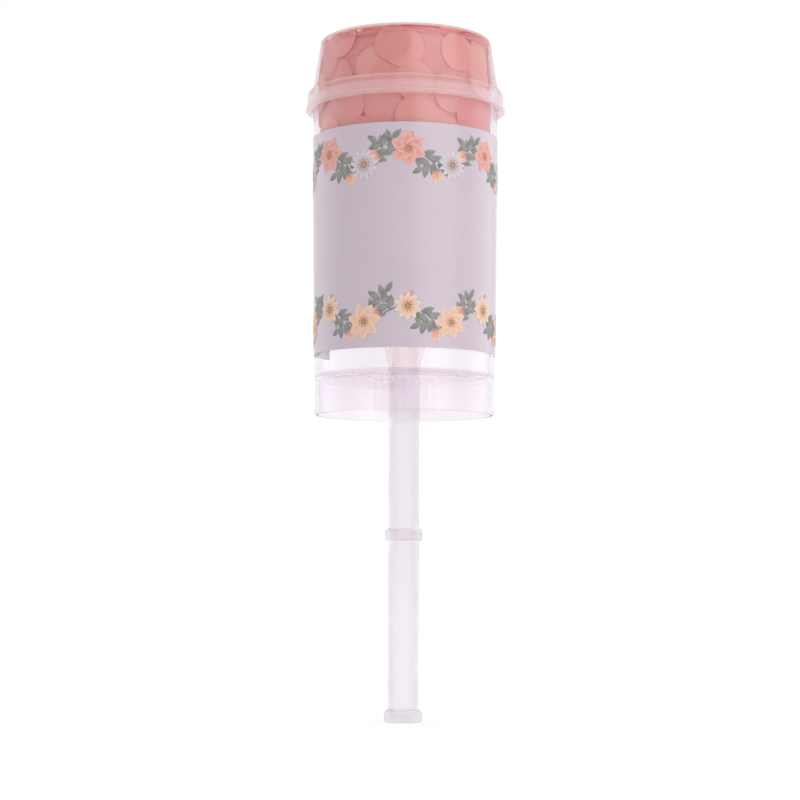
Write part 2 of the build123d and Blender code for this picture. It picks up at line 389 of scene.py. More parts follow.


# Finishes: clear plastic by its tint, painted edge tint (painted reflection and refraction at its edges),
# roughness and gloss, and cloudy plastic by its tint, least and edge alpha, roughness and transmission
# Each clear finish's second colour is a painted edge tint; the crown's pink one paints the confetti that
# refraction shows at the lid's edges
CLEAR = clear_plastic("clear_plastic", colour(254, 251, 254), colour(240, 237, 251), 0.05, 0.8)
CLEAR_SKIRT = clear_plastic("clear_skirt_plastic", colour(252, 247, 251), colour(240, 237, 251), 0.05, 0.8)
CLEAR_GUIDE = clear_plastic("clear_guide_plastic", colour(255, 254, 255), colour(250, 245, 249), 0.08, 0.2)
CLEAR_FLOOR = clear_plastic("clear_floor_plastic", colour(240, 233, 239), colour(248, 241, 246), 0.3, 0.0)
CLEAR_CROWN = clear_plastic("clear_crown_plastic", colour(249, 244, 246), colour(224, 182, 186), 0.05, 0.75)
# The crown's rim finish is painted shade: its brownish tint stands in for the dark line that refraction of
# shaded confetti shows at the lid's top corner
CROWN_RIM_PAINTED_SHADE = clear_plastic("crown_rim_painted_shade_plastic", colour(222, 192, 187), colour(206, 164, 158), 0.2, 0.7)
FLANGE = milky_plastic("flange_plastic", colour(255, 246, 250), 0.25, 0.7, 0.25, 0.4)
MILKY = milky_plastic("milky_plastic", colour(231, 225, 232), 0.3, 0.8, 0.25, 0.9)
DENSE_MILKY = milky_plastic("dense_milky_plastic", colour(232, 225, 231), 0.6, 0.9, 0.3, 0.8)
# The pink tints of the stick's spigots and of the plunger are painted pink light: they stand in for the
# confetti's light that clear plastic carries down by refraction
THIN_MILKY_PAINTED_PINK = milky_plastic("thin_milky_painted_pink_plastic", colour(255, 230, 234), 0.07, 0.35, 0.25, 0.9)
SOFT_CLEAR_PAINTED_PINK = milky_plastic("soft_clear_painted_pink_plastic", colour(242, 204, 206), 0.12, 0.5, 0.2, 0.9)
PAPER = label_paper()
INK = printed_ink()
TISSUE = confetti_tissue()

# Turned pieces, each from its section's corners as radius, height and fillet
BEAD_RADIUS = barrel_outside(BARREL_BASE) + BEAD_REACH
BEAD_TOP = BARREL_BASE + BEAD_HEIGHT
PAST_GUIDE = GUIDE_RADIUS + 1.0
PAST_STICK = STICK_RADIUS + 0.1
OVER_TOP = 1.0
SLAB_MARGIN = 0.6
# Reach and drop of the crown's painted-shade rim band
PAINTED_SHADE_RIM_REACH = 0.9
PAINTED_SHADE_RIM_DROP = 0.7
turned("clear_barrel", [
    (BEAD_RADIUS, BARREL_BASE, 0.35),
    (BEAD_RADIUS, BEAD_TOP, 0.1),
    (barrel_outside(BEAD_TOP), BEAD_TOP, 0.03),
    (barrel_outside(FLOOR_UNDER), FLOOR_UNDER, 0),
    (barrel_outside(FLOOR_TOP), FLOOR_TOP, 0),
    (barrel_outside(BARREL_TOP), BARREL_TOP, 0.3),
    (barrel_bore(BARREL_TOP), BARREL_TOP, 0.3),
    (barrel_bore(FLOOR_TOP), FLOOR_TOP, 0.5),
    (GUIDE_BORE, FLOOR_TOP, 0.4),
    (GUIDE_BORE, GUIDE_BASE, 0.4),
    (GUIDE_RADIUS, GUIDE_BASE, 0.4),
    (GUIDE_RADIUS, FLOOR_UNDER, 0.5),
    (barrel_bore(FLOOR_UNDER), FLOOR_UNDER, 0.5),
    (barrel_bore(BARREL_BASE), BARREL_BASE, 0.35),
], "barrel", ["barrel"], CLEAR_GUIDE, [
    (PAST_GUIDE, FLOOR_TOP, BARREL_TOP + OVER_TOP, CLEAR),
    (PAST_GUIDE, 0, FLOOR_UNDER, CLEAR_SKIRT),
    (PAST_GUIDE, FLOOR_UNDER - SLAB_MARGIN, FLOOR_TOP + SLAB_MARGIN, CLEAR_FLOOR),
])
turned("clear_lid", [
    (FLANGE_BORE, FLANGE_BASE, 0.4),
    (FLANGE_BORE, BARREL_TOP, 0.15),
    (lid_bore(BARREL_TOP), BARREL_TOP, 0.3),
    (lid_bore(LID_UNDER), LID_UNDER, 0.6),
    (0, LID_UNDER, 0),
    (0, LID_TOP, 0),
    (lid_outside(LID_TOP), LID_TOP, 1.0),
    (lid_outside(SHOULDER_TOP), SHOULDER_TOP, 0.35),
    (FLANGE_RADIUS, SHOULDER_TOP, 1.1),
    (FLANGE_FOOT_RADIUS, FLANGE_BEAD_TOP, 0.05),
    (FLANGE_BEAD_RADIUS, FLANGE_BEAD_TOP, 0.35),
    (FLANGE_BEAD_RADIUS, FLANGE_BASE, 0.35),
], "lid", ["lid"], CLEAR_CROWN, [
    (FLANGE_BORE - 0.1, 0, SHOULDER_TOP + SUPPORT_GAP, FLANGE),
    # The lid's top corner in the painted-shade rim finish
    (lid_bore(LID_UNDER) - PAINTED_SHADE_RIM_REACH, LID_UNDER - PAINTED_SHADE_RIM_DROP, LID_TOP + OVER_TOP, CROWN_RIM_PAINTED_SHADE),
])
turned("soft_plunger", [
    (STICK_RADIUS, SOCKET_MOUTH, 0.15),
    (socket_outside(DISC_UNDER), DISC_UNDER, 0.6),
    (PLUNGER_SKIRT_BORE, DISC_UNDER, 0.5),
    (PLUNGER_SKIRT_BORE, PLUNGER_SKIRT_BASE, 0.3),
    (PLUNGER_RADIUS, PLUNGER_SKIRT_BASE, 0.3),
    (PLUNGER_RADIUS, DISC_TOP, 0.3),
    (socket_outside(DISC_TOP) - SOCKET_OFFSET, DISC_TOP, 0.4),
    (STICK_BORE, SOCKET_MOUTH + (STICK_BORE + SOCKET_OFFSET - STICK_RADIUS) / SOCKET_DRAFT, 0.3),
    (STICK_BORE, SOCKET_MOUTH, 0.1),
], "plunger", ["plunger"], SOFT_CLEAR_PAINTED_PINK)


def tube_top(shoulder, spigot_length):
    """Corners of a stick's upper end: its spigot, and the step down into its bore."""
    spigot_bore = SPIGOT_RADIUS - STICK_WALL
    return [
        (STICK_RADIUS, shoulder, 0.2),
        (SPIGOT_RADIUS, shoulder, 0.1),
        (SPIGOT_RADIUS, shoulder + spigot_length, 0.25),
        (spigot_bore, shoulder + spigot_length, 0.2),
        (spigot_bore, shoulder - STICK_WALL, 0.1),
        (STICK_BORE, shoulder - STICK_WALL, 0.1),
    ]


turned("milky_stick_upper", [
    (RING_RADIUS, STICK_JOINT, 0.68),
    (RING_RADIUS, STICK_JOINT + RING_HEIGHT, 0.68),
    (STICK_RADIUS, STICK_JOINT + RING_HEIGHT, 0.12),
    *tube_top(SOCKET_MOUTH, SPIGOT_LENGTH),
    (STICK_BORE, STICK_JOINT, 0.15),
], "plunger", ["stick_upper"], MILKY, [
    (0, SOCKET_MOUTH, DISC_TOP, THIN_MILKY_PAINTED_PINK),
    (PAST_STICK, 0, SOCKET_MOUTH, DENSE_MILKY),
])
turned("milky_stick_lower", [
    (0, 0, 0),
    (FOOT_RADIUS, 0, 0.8),
    (FOOT_RADIUS, FOOT_HEIGHT, 0.8),
    (STICK_RADIUS, FOOT_HEIGHT, 0.15),
    *tube_top(STICK_JOINT, RING_HEIGHT),
    (STICK_BORE, FOOT_WEB, 0.4),
    (0, FOOT_WEB, 0),
], "plunger", ["stick_lower"], MILKY, [
    (0, STICK_JOINT, SOCKET_MOUTH, THIN_MILKY_PAINTED_PINK),
    (PAST_STICK, -1, FOOT_HEIGHT + 1, DENSE_MILKY),
])


def set_inputs(modifier, tree, values):
    """Sets a modifier's named inputs by their sockets' identifiers."""
    for item in tree.interface.items_tree:
        if item.item_type == "SOCKET" and item.in_out == "INPUT" and item.name in values:
            modifier[item.identifier] = values[item.name]


def plain_piece(name, carrier):
    """The evaluated object as a plain mesh in an object of its own."""
    shown = carrier.evaluated_get(bpy.context.evaluated_depsgraph_get())
    mesh = bpy.data.meshes.new_from_object(shown)
    mesh.name = name
    bpy.data.objects.remove(carrier)
    return linked(name, mesh)


def layer_tree(name, inputs):
    """An empty Geometry Nodes tree for one of several layers of a piece, with its inputs by kind and name,
    and the sockets of its two ends."""
    tree = bpy.data.node_groups.new(name, "GeometryNodeTree")
    for kind, names in (("Geometry", ["Geometry"]), *inputs, ("Material", ["Material"])):
        for socket_name in names:
            tree.interface.new_socket(socket_name, in_out="INPUT", socket_type="NodeSocket" + kind)
    tree.interface.new_socket("Geometry", in_out="OUTPUT", socket_type="NodeSocketGeometry")
    return tree, tree.nodes.new("NodeGroupInput").outputs, tree.nodes.new("NodeGroupOutput").inputs


def end_layer(tree, flow, given, result):
    """Gives a layer its material and joins it to the layers before it."""
    finished = put(tree, "GeometryNodeSetMaterial", {"Geometry": flow, "Material": given["Material"]})
    heap = tree.nodes.new("GeometryNodeJoinGeometry")
    for part in (finished.outputs[0], given["Geometry"]):
        tree.links.new(part, heap.inputs[0])
    tree.links.new(heap.outputs[0], result[0])


# Confetti discs: sides of their meshes, creases to a metre, least depth under the wall in millimetres, and
# what each random draw adds to its layer's seed
CAN_SIDES = 64
BLANK_SIDES = 8
CRUMPLE_SCALE = 140.0
LEAST_DEPTH = 0.05
TINT_DRAW = 1
PRESS_DRAW = 2
SIZE_DRAW = 4
HUE_DRAW = 5


def confetti_tree():
    """One layer of tissue discs, spread over the side or the ends of a can-shaped surface inside the tube.
    In a wrapped layer the discs lie along the wall, each at its own depth, and fold over at the lid and the
    plunger; in the others they keep their tilt and are pressed flat where they meet something."""
    tree, given, result = layer_tree("confetti_layer", [
        ("Float", ["Disc Radius", "Spacing", "Inset", "End Gap", "Press", "Tilt", "Wrap", "Ends", "Dye",
                   "Low", "High", "Lowest Middle", "Fill Radius", "Bore At Zero", "Bore Draft",
                   "Crown At Zero", "Crown Draft", "Crumple", "Candidates"]),
        ("Int", ["Seed", "Rounding"]),
    ])

    def kept(flow, name, value):
        return put(tree, "GeometryNodeStoreNamedAttribute", {"Geometry": flow, "Name": name, "Value": value},
                   data_type="FLOAT", domain="INSTANCE").outputs[0]

    def drawn(least, most, salt):
        return put(tree, "FunctionNodeRandomValue", {
            2: least, 3: most, "Seed": calc(tree, "ADD", given["Seed"], salt),
        }, data_type="FLOAT").outputs[1]

    def split(vector):
        return put(tree, "ShaderNodeSeparateXYZ", {0: vector}).outputs

    # Points over the can, and a round disc on each
    top = calc(tree, "SUBTRACT", given["High"], given["End Gap"])
    base = calc(tree, "ADD", given["Lowest Middle"], given["End Gap"])
    middle = calc(tree, "MULTIPLY", calc(tree, "ADD", top, base), 0.5)
    can = put(tree, "GeometryNodeMeshCylinder", {
        "Vertices": CAN_SIDES, "Radius": calc(tree, "SUBTRACT", given["Fill Radius"], given["Inset"]),
        "Depth": calc(tree, "SUBTRACT", top, base),
    }, fill_type="NGON")
    raised = put(tree, "GeometryNodeTransform", {
        "Geometry": can.outputs[0],
        "Translation": put(tree, "ShaderNodeCombineXYZ", {"Z": middle}).outputs[0],
    })
    upright = calc(tree, "ABSOLUTE", split(tree.nodes.new("GeometryNodeInputNormal").outputs[0])["Z"])
    chosen = calc(tree, "COMPARE", upright, given["Ends"], 0.5)
    spread = put(tree, "GeometryNodeDistributePointsOnFaces", {
        "Mesh": raised.outputs[0], "Selection": chosen, "Distance Min": given["Spacing"],
        "Density Max": given["Candidates"], "Seed": given["Seed"],
    }, distribute_method="POISSON")
    blank = put(tree, "GeometryNodeMeshCircle", {
        "Vertices": BLANK_SIDES, "Radius": given["Disc Radius"],
    }, fill_type="NGON")
    disc = put(tree, "GeometryNodeSubdivisionSurface", {"Mesh": blank.outputs[0], "Level": given["Rounding"]})
    most = given["Tilt"]
    least = calc(tree, "MULTIPLY", most, -1.0)
    tilt = put(tree, "FunctionNodeRandomValue", {
        0: put(tree, "ShaderNodeCombineXYZ", {"X": least, "Y": least, "Z": -math.pi}).outputs[0],
        1: put(tree, "ShaderNodeCombineXYZ", {"X": most, "Y": most, "Z": math.pi}).outputs[0],
        "Seed": given["Seed"],
    }, data_type="FLOAT_VECTOR")
    facing = put(tree, "FunctionNodeRotateRotation", {
        "Rotation": spread.outputs["Rotation"], "Rotate By": tilt.outputs[0],
    }, rotation_space="LOCAL")
    laid = put(tree, "GeometryNodeInstanceOnPoints", {
        "Points": spread.outputs["Points"], "Instance": disc.outputs[0], "Rotation": facing.outputs[0],
        "Scale": drawn(0.9, 1.06, SIZE_DRAW),
    })
    tint = calc(tree, "ADD", drawn(0.0, 0.5, TINT_DRAW), given["Dye"])
    flow = kept(laid.outputs[0], "sheet_tint", tint)
    flow = kept(flow, "sheet_hue", drawn(0.0, 0.8, HUE_DRAW))
    flow = kept(flow, "sheet_press", drawn(0.0, 1.0, PRESS_DRAW))
    sheets = put(tree, "GeometryNodeRealizeInstances", {"Geometry": flow})

    # Crumpled outlines
    place = tree.nodes.new("GeometryNodeInputPosition").outputs[0]
    waves = put(tree, "ShaderNodeTexNoise", {"Vector": place, "Scale": CRUMPLE_SCALE, "Detail": 1.0})
    centred = put(tree, "ShaderNodeVectorMath", {
        0: waves.outputs["Color"], 1: (0.5, 0.5, 0.5),
    }, operation="SUBTRACT")
    shift = put(tree, "ShaderNodeVectorMath", {
        0: centred.outputs[0], "Scale": given["Crumple"],
    }, operation="SCALE")
    waved = put(tree, "GeometryNodeSetPosition", {"Geometry": sheets.outputs[0], "Offset": shift.outputs[0]})

    # Depth of each point under the wall
    press = put(tree, "GeometryNodeInputNamedAttribute", {"Name": "sheet_press"}, data_type="FLOAT")
    margin = calc(tree, "MULTIPLY", press.outputs[0], given["Press"])
    depth = calc(tree, "MAXIMUM", calc(tree, "ADD", margin, given["Inset"]), LEAST_DEPTH * MM)
    parts = split(tree.nodes.new("GeometryNodeInputPosition").outputs[0])
    height = calc(tree, "MINIMUM", calc(tree, "MAXIMUM", parts["Z"], calc(tree, "ADD", given["Low"], margin)),
                  calc(tree, "SUBTRACT", given["High"], margin))
    folded = calc(tree, "ABSOLUTE", calc(tree, "SUBTRACT", parts["Z"], height))
    bore = calc(tree, "MULTIPLY_ADD", height, given["Bore Draft"], given["Bore At Zero"])
    crown = calc(tree, "MULTIPLY_ADD", height, given["Crown Draft"], given["Crown At Zero"])
    wall = calc(tree, "MINIMUM", bore, crown)
    flat = put(tree, "ShaderNodeCombineXYZ", {"X": parts["X"], "Y": parts["Y"]})
    reach = put(tree, "ShaderNodeVectorMath", {0: flat.outputs[0]}, operation="LENGTH").outputs["Value"]
    along_wall = calc(tree, "SUBTRACT", calc(tree, "SUBTRACT", wall, depth), folded)
    pressed_in = calc(tree, "MINIMUM", reach, calc(tree, "SUBTRACT", wall, margin))
    outward = calc(tree, "SUBTRACT", along_wall, pressed_in)
    radius = calc(tree, "MULTIPLY_ADD", outward, given["Wrap"], pressed_in)
    share = calc(tree, "DIVIDE", radius, reach)
    settled = put(tree, "ShaderNodeCombineXYZ", {
        "X": calc(tree, "MULTIPLY", parts["X"], share),
        "Y": calc(tree, "MULTIPLY", parts["Y"], share),
        "Z": height,
    })
    pressed = put(tree, "GeometryNodeSetPosition", {
        "Geometry": waved.outputs[0], "Position": settled.outputs[0],
    })
    smooth = put(tree, "GeometryNodeSetShadeSmooth", {0: pressed.outputs[0]})
    end_layer(tree, smooth.outputs[0], given, result)
    return tree


# Confetti: layers from the wall inwards, with lengths in millimetres and tilts in degrees
CONFETTI_RADIUS = 6.1
CONFETTI_GAP = 0.06
CONFETTI_CRUMPLE = 1.2
SHEET_THICKNESS = 0.05
SHARP_DEGREES = 50
CONFETTI_LOW = DISC_TOP + CONFETTI_GAP
CONFETTI_HIGH = LID_UNDER - CONFETTI_GAP
# Places tried on a square metre, before those too near to others are dropped
LOOSE = 1e5
DENSE = 1e6


def confetti_layer(seed, spacing, inset, press, dye, tilt=4, end_gap=3.0, wrap=1.0, ends=0.0,
                   lowest=CONFETTI_LOW, rounding=2, candidates=LOOSE):
    """The inputs of one layer."""
    lengths = {
        "Spacing": spacing, "Inset": inset, "Press": press, "End Gap": end_gap, "Lowest Middle": lowest,
    }
    return {
        **{name: length * MM for name, length in lengths.items()}, "Tilt": math.radians(tilt), "Wrap": wrap,
        "Ends": ends, "Dye": dye, "Seed": seed, "Rounding": rounding, "Candidates": candidates,
    }


CONFETTI_LAYERS = [
    confetti_layer(11, 8.4, 0.02, 0.9, 0.45, end_gap=1.5),
    confetti_layer(18, 5.6, 0.3, 0.25, 0.4, end_gap=0.6, lowest=177.0),
    confetti_layer(20, 4.8, 0.9, 0.2, 0.3, end_gap=0.4, lowest=178.0),
    confetti_layer(23, 6.8, 0.7, 0.8, 0.35, end_gap=1.5),
    confetti_layer(38, 5.2, 1.3, 0.8, 0.3, end_gap=1.0, rounding=1, candidates=DENSE),
    confetti_layer(97, 4.8, 2.0, 0.6, 0.4, end_gap=0.5, rounding=1, candidates=DENSE),
    confetti_layer(41, 7.6, 4.0, 1.2, 0.0, tilt=22, end_gap=4.0, wrap=0.0, rounding=1),
    confetti_layer(59, 9.0, 9.0, 1.2, 0.2, tilt=35, end_gap=6.0, wrap=0.0, rounding=1),
    confetti_layer(67, 8.4, 1.0, 0.4, 0.45, tilt=3, end_gap=0.1, wrap=0.0, ends=1.0),
    confetti_layer(71, 7.8, 1.0, 0.6, 0.4, tilt=5, end_gap=0.9, wrap=0.0, ends=1.0),
    confetti_layer(83, 5.0, 0.8, 0.6, 0.4, tilt=5, end_gap=1.7, wrap=0.0, ends=1.0, rounding=1,
                   candidates=DENSE),
]


def confetti_fill():
    """All layers of tissue discs as one piece."""
    tree = confetti_tree()
    carrier = linked("confetti_carrier", bpy.data.meshes.new("confetti_carrier"))
    sizes = {
        "Disc Radius": CONFETTI_RADIUS, "Low": CONFETTI_LOW, "High": CONFETTI_HIGH,
        "Fill Radius": barrel_bore(CONFETTI_LOW) - CONFETTI_GAP,
        "Bore At Zero": barrel_bore(0) - CONFETTI_GAP,
        "Crown At Zero": lid_bore(0) - CONFETTI_GAP, "Crumple": CONFETTI_CRUMPLE,
    }
    for values in CONFETTI_LAYERS:
        layer = carrier.modifiers.new("layer", "NODES")
        layer.node_group = tree
        set_inputs(layer, tree, {
            **{name: length * MM for name, length in sizes.items()}, "Bore Draft": BARREL_DRAFT,
            "Crown Draft": lid_bore(1) - lid_bore(0), "Material": TISSUE, **values,
        })
    body = carrier.modifiers.new("sheet_thickness", "SOLIDIFY")
    body.thickness = SHEET_THICKNESS * MM
    body.offset = -1.0
    piece = plain_piece("confetti_fill", carrier)
    piece.data.set_sharp_from_angle(angle=math.radians(SHARP_DEGREES))
    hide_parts(*[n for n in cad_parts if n.startswith("confetti_")])
    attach(piece, "confetti")
    return piece


confetti_fill()

# Label: the CAD sheet in printed paper
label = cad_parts["label"]
label.data.materials.clear()
label.data.materials.append(PAPER)

# Printed borders: flat motifs in ink, set out along two waving stems and wrapped round the label
CORAL = colour(222, 118, 102)
CORAL_LIGHT = colour(243, 186, 172)
PEACH = colour(236, 178, 140)
PEACH_LIGHT = colour(246, 214, 186)
CREAM = colour(246, 232, 208)
LILAC_GREY = colour(188, 176, 190)
WHITE_GREY = colour(232, 226, 230)
OCHRE = colour(208, 152, 82)
OCHRE_DARK = colour(150, 98, 56)
SAGE = colour(142, 150, 143)
SAGE_DARK = colour(96, 105, 100)
TWIG = colour(96, 92, 90)
LABEL_DRAFT = (LABEL_TOP_RADIUS - LABEL_BASE_RADIUS) / (LABEL_TOP - LABEL_BASE)
INK_LIFT = 0.03
INK_STEP = 0.002
LEAF_STEPS = 6
SIDE_STEPS = 2
STEM_STEPS = 150


def between(first, second, share):
    """An ink between two inks."""
    return [a + (b - a) * share for a, b in zip(first, second)]


def blade(length, width, start, turn, lift, inner, outer, fullness, centre=(0, 0)):
    """A petal or leaf as a small grid, from its foot to its tip, as points and inks."""
    points = []
    inks = []
    for i in range(LEAF_STEPS + 1):
        along_share = i / LEAF_STEPS
        half = width * 0.04
        if 0 < i < LEAF_STEPS:
            half = width / 2 * math.sin(math.pi * along_share**fullness) ** 0.75
        for j in range(-SIDE_STEPS, SIDE_STEPS + 1):
            across_share = j / SIDE_STEPS
            x = start + length * along_share
            y = half * across_share
            points.append((
                centre[0] + x * math.cos(turn) - y * math.sin(turn),
                centre[1] + x * math.sin(turn) + y * math.cos(turn),
                lift,
            ))
            lighter_share = 0.18 if j > 0 else -0.22 if j == 0 else 0.0
            inks.append(between(inner, outer, min(1.0, max(0.0, along_share + lighter_share))))
    wide = 2 * SIDE_STEPS + 1
    faces = [
        (i * wide + j, (i + 1) * wide + j, (i + 1) * wide + j + 1, i * wide + j + 1)
        for i in range(LEAF_STEPS) for j in range(wide - 1)
    ]
    return points, inks, faces


def dot(radius, centre, lift, inner, outer, sides=12):
    """A round dot, as points and inks."""
    points = [(*centre, lift)]
    inks = [inner]
    for k in range(sides):
        turn = 2 * math.pi * k / sides
        points.append((centre[0] + radius * math.cos(turn), centre[1] + radius * math.sin(turn), lift))
        inks.append(outer)
    return points, inks, [(0, 1 + k, 1 + (k + 1) % sides) for k in range(sides)]


def ribbon(line, width, lift, ink):
    """A thin stem along a line of points."""
    points = []
    for k, (x, y) in enumerate(line):
        ahead = Vector(line[min(k + 1, len(line) - 1)]) - Vector(line[max(k - 1, 0)])
        side = Vector((-ahead.y, ahead.x)).normalized() * width / 2
        points += [(x - side.x, y - side.y, lift), (x + side.x, y + side.y, lift)]
    faces = [(2 * k, 2 * k + 2, 2 * k + 3, 2 * k + 1) for k in range(len(line) - 1)]
    return points, [ink] * len(points), faces


def motif(name, patches):
    """A carrier object for one printed motif, made of patches."""
    points, inks, faces = [], [], []
    for patch_points, patch_inks, patch_faces in patches:
        first = len(points)
        points += [tuple(c * MM for c in p) for p in patch_points]
        inks += [tuple(ink[:3]) + (1.0,) for ink in patch_inks]
        faces += [tuple(first + k for k in face) for face in patch_faces]
    mesh = bpy.data.meshes.new(name)
    mesh.from_pydata(points, [], faces)
    stain = mesh.attributes.new("ink", "FLOAT_COLOR", "POINT")
    for k, ink in enumerate(inks):
        stain.data[k].color = ink
    return linked(name, mesh)


PETAL_RING_SHARE = 0.62
SEEDS = 9
SEED_RADIUS = 0.2
SEED_RING_SHARE = 1.45
LEAF_PITCH = 2.5


def open_blossom(name, petals, length, width, start, inner, outer, fullness, heart_radius, rings=1):
    """A flower seen from above: rings of petals, each smaller and set between those below it, and a heart
    with a ring of seeds."""
    patches = []
    for ring in range(rings):
        share = PETAL_RING_SHARE**ring
        for k in range(petals):
            turn = 2 * math.pi * (k + ring / 2) / petals
            lift = INK_STEP * (len(patches) + 1)
            patches.append(blade(length * share, width * share, start, turn, lift, inner, outer, fullness))
    top = INK_STEP * len(patches)
    patches.append(dot(heart_radius, (0, 0), top + 2 * INK_STEP, OCHRE, OCHRE_DARK))
    seed_ring = SEED_RING_SHARE * heart_radius
    for k in range(SEEDS):
        turn = 2 * math.pi * k / SEEDS
        spot = (seed_ring * math.cos(turn), seed_ring * math.sin(turn))
        patches.append(dot(SEED_RADIUS, spot, top + 4 * INK_STEP, OCHRE_DARK, OCHRE_DARK, 6))
    return motif(name, patches)


def leaf_sprig(name, pairs, inner, outer):
    """Leaves in pairs along a twig, each pair shorter, and one at its tip."""
    reach = LEAF_PITCH * pairs
    patches = [ribbon([(0, 0), (reach, 0.3), (reach + 1.4, 0.2)], 0.28, 0, TWIG)]
    for k in range(pairs):
        lift = INK_STEP + INK_STEP * k
        for side in (-1, 1):
            turn = side * math.radians(54)
            foot = (1.0 + LEAF_PITCH * k + 0.5 * side, 0.1)
            patches.append(blade(3.9 - 0.3 * k, 1.9, 0.2, turn, lift, inner, outer, 0.8, foot))
    patches.append(blade(3.4, 1.7, 0, 0.05, 6 * INK_STEP, inner, outer, 0.8, (reach + 0.4, 0.2)))
    return motif(name, patches)


def side_bud(name, inner, outer):
    """Three closed petals held by two green ones, on a short stem."""
    patches = [ribbon([(0, 0), (1.2, 0.2), (2.6, 0.2)], 0.32, 0, SAGE_DARK)]
    for k, turn in enumerate((-0.36, 0.36, 0.0)):
        patches.append(blade(4.4, 2.3, 0, turn, (2 + k) * INK_STEP, inner, outer, 0.7, (2.2, 0.2)))
    for k, turn in enumerate((-0.7, 0.7)):
        patches.append(blade(1.8, 0.8, 0, turn, (6 + k) * INK_STEP, SAGE_DARK, SAGE, 0.8, (2.0, 0.2)))
    return motif(name, patches)


def berry_pair(name):
    """Two berries on a forked twig."""
    patches = [ribbon([(0, 0), (1.0, 0.7), (1.9, 1.1)], 0.2, 0, TWIG),
               ribbon([(0, 0), (1.3, -0.2), (2.4, -0.5)], 0.2, 0, TWIG)]
    for k, place in enumerate(((2.2, 1.2), (2.8, -0.6))):
        patches.append(dot(0.62, place, (2 + k) * INK_STEP, CORAL_LIGHT, CORAL))
    return motif(name, patches)


def border_stem(name, first, last, wave, wave_length):
    """The waving stem of a border."""
    line = []
    for k in range(STEM_STEPS + 1):
        x = first + (last - first) * k / STEM_STEPS
        line.append((x, wave * math.cos(2 * math.pi * x / wave_length)))
    return motif(name, [ribbon(line, 0.34, 0, SAGE_DARK)])


def border_tree():
    """A row of one printed motif along a waving line, wrapped round the label's cone."""
    tree, given, result = layer_tree("label_border", [
        ("Object", ["Motif"]),
        ("Float", ["First", "Step", "Middle", "Wave", "Wave Length", "Rise", "Turn", "Turn Swing", "Size",
                   "Lift", "Face At Zero", "Face Draft", "Roll Radius", "Jitter"]),
        ("Int", ["Count", "Seed"]),
    ])
    number = tree.nodes.new("GeometryNodeInputIndex").outputs[0]
    along = calc(tree, "MULTIPLY_ADD", number, given["Step"], given["First"])
    phase = calc(tree, "MULTIPLY", calc(tree, "DIVIDE", along, given["Wave Length"]), 2 * math.pi)
    swing = calc(tree, "MULTIPLY_ADD", calc(tree, "MODULO", number, 2.0), -2.0, 1.0)
    bend = calc(tree, "MULTIPLY_ADD", calc(tree, "COSINE", phase), given["Wave"], given["Middle"])
    spot = put(tree, "ShaderNodeCombineXYZ", {
        "X": along, "Y": calc(tree, "MULTIPLY_ADD", swing, given["Rise"], bend), "Z": given["Lift"],
    })
    row = put(tree, "GeometryNodePoints", {"Count": given["Count"], "Position": spot.outputs[0]})
    shake = put(tree, "FunctionNodeRandomValue", {
        2: calc(tree, "MULTIPLY", given["Jitter"], -1.0), 3: given["Jitter"], "Seed": given["Seed"],
    }, data_type="FLOAT")
    swung = calc(tree, "MULTIPLY_ADD", swing, given["Turn Swing"], given["Turn"])
    turn = calc(tree, "ADD", swung, shake.outputs[1])
    growth = put(tree, "FunctionNodeRandomValue", {
        2: 0.9, 3: 1.08, "Seed": calc(tree, "ADD", given["Seed"], GROWTH_DRAW),
    }, data_type="FLOAT")
    source = put(tree, "GeometryNodeObjectInfo", {"Object": given["Motif"]})
    printed = put(tree, "GeometryNodeInstanceOnPoints", {
        "Points": row.outputs[0], "Instance": source.outputs["Geometry"],
        "Rotation": put(tree, "ShaderNodeCombineXYZ", {"Z": turn}).outputs[0],
        "Scale": calc(tree, "MULTIPLY", growth.outputs[1], given["Size"]),
    })
    flat = put(tree, "GeometryNodeRealizeInstances", {"Geometry": printed.outputs[0]})
    point = tree.nodes.new("GeometryNodeInputPosition").outputs[0]
    place = put(tree, "ShaderNodeSeparateXYZ", {0: point}).outputs
    angle = calc(tree, "DIVIDE", place["X"], given["Roll Radius"])
    face = calc(tree, "MULTIPLY_ADD", place["Y"], given["Face Draft"], given["Face At Zero"])
    radius = calc(tree, "ADD", face, place["Z"])
    wrapped = put(tree, "ShaderNodeCombineXYZ", {
        "X": calc(tree, "MULTIPLY", radius, calc(tree, "SINE", angle)),
        "Y": calc(tree, "MULTIPLY", calc(tree, "MULTIPLY", radius, calc(tree, "COSINE", angle)), -1.0),
        "Z": place["Y"],
    })
    rolled = put(tree, "GeometryNodeSetPosition", {
        "Geometry": flat.outputs[0], "Position": wrapped.outputs[0],
    })
    end_layer(tree, rolled.outputs[0], given, result)
    return tree


WAVE = 2.0
WAVE_LENGTH = 24.0
PITCH = WAVE_LENGTH / 2
PRINT_FIRST = -50.5
PRINT_LAST = 41.0
TOP_BORDER = 148.6
BASE_BORDER = 107.2
BLOSSOM_FIRST = -47.2
TURN_JITTER = 0.15
FIRST_ROW_SEED = 3
GROWTH_DRAW = 7


